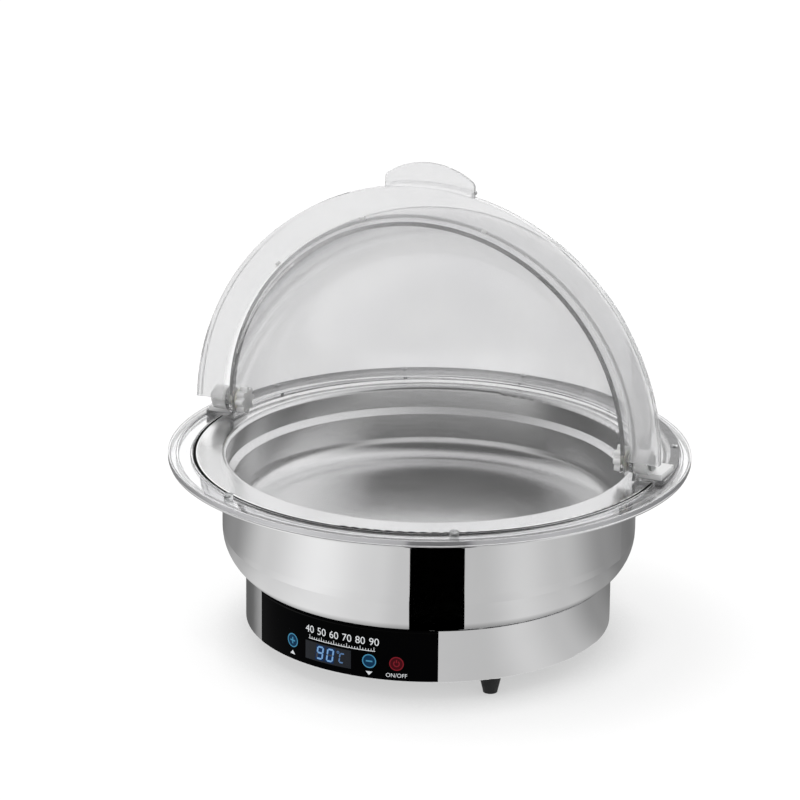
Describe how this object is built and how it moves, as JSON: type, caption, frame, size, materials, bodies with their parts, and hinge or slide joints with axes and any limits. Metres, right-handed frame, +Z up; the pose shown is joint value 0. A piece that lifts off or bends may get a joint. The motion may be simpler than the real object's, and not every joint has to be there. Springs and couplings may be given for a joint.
{
  "type": "electric chafing dish",
  "caption": "Round electric chafing dish: steel water pan on a base with a touch panel, lift-out food pan and a clear roll-top dome lid that turns back on side pivots.",
  "frame": {"origin": "centre of the round dish at the table", "axes": "+Z up, the lid's mouth and the touch panel face -Y, +X to the right seen from the front"},
  "size_m": [0.4499, 0.45, 0.4254],
  "materials": {
    "polished_steel": "mirror-polished stainless steel sheet",
    "pan_steel": "bright stainless steel, pressed",
    "plated_steel": "plated steel",
    "clear_polycarbonate": "clear moulded polycarbonate",
    "clear_silicone": "translucent silicone",
    "black_rubber": "moulded rubber",
    "black_acrylic": "gloss black acrylic",
    "display_plastic": "dark moulded plastic",
    "circuit_board": "green circuit board",
    "board_parts": "moulded component bodies",
    "nylon": "natural nylon",
    "aluminium": "cast aluminium",
    "element_steel": "oxidised steel sheath",
    "dark_phenolic": "phenolic moulding",
    "black_plastic": "black moulded plastic",
    "brass": "brass strip",
    "wire_sleeve": "wire insulation"
  },
  "bodies": {
    "base": {"base_shell": "polished_steel", "bottom_plate": "plated_steel", "foot_front": "black_rubber", "foot_back": "black_rubber", "foot_left": "black_rubber", "foot_screws": "plated_steel", "foot_nuts": "plated_steel", "touch_panel": "black_acrylic", "display_module": "display_plastic", "control_board": "circuit_board", "touch_springs": "plated_steel", "board_standoffs": "nylon", "board_bracket": "plated_steel", "power_board": "circuit_board", "power_parts": "board_parts", "power_standoffs": "nylon", "heater_plate": "aluminium", "heating_element": "element_steel", "heater_studs": "plated_steel", "heater_spacers": "plated_steel", "heater_nuts": "plated_steel", "heat_shield": "plated_steel", "temperature_sensor": "aluminium", "thermal_cutout": "dark_phenolic", "mains_inlet": "black_plastic", "inlet_contacts": "brass", "mains_leads": "wire_sleeve", "heater_leads": "wire_sleeve", "sensor_lead": "wire_sleeve", "board_cable": "wire_sleeve", "water_pan": "polished_steel"},
    "food_pan": {"food_pan": "pan_steel"},
    "lid": {"lid_ring": "clear_polycarbonate", "lid_bumpers": "clear_silicone", "rear_dome": "clear_polycarbonate", "dome_screws": "plated_steel", "hinge_lug_right": "clear_polycarbonate", "hinge_lug_left": "clear_polycarbonate", "hinge_screws": "plated_steel", "pivot_pin_right": "plated_steel", "pivot_pin_left": "plated_steel", "pivot_knob_right": "clear_polycarbonate", "pivot_knob_left": "clear_polycarbonate"},
    "front_dome": {"front_dome": "clear_polycarbonate", "lid_handle": "clear_polycarbonate", "pivot_bush_right": "nylon", "pivot_bush_left": "nylon"}
  },
  "joints": [
    {"name": "pan_lift", "type": "slide", "parent": "base", "child": "food_pan", "axis": [0, 0, 1], "range_m": [0, 0.18]},
    {"name": "lid_lift", "type": "slide", "parent": "food_pan", "child": "lid", "axis": [0, 0, 1], "range_m": [0, 0.2]},
    {"name": "lid_roll", "type": "hinge", "parent": "lid", "child": "front_dome", "pos_m": [0, 0, 0.187], "axis": [1, 0, 0], "range_deg": [0, 92.3]}
  ]
}
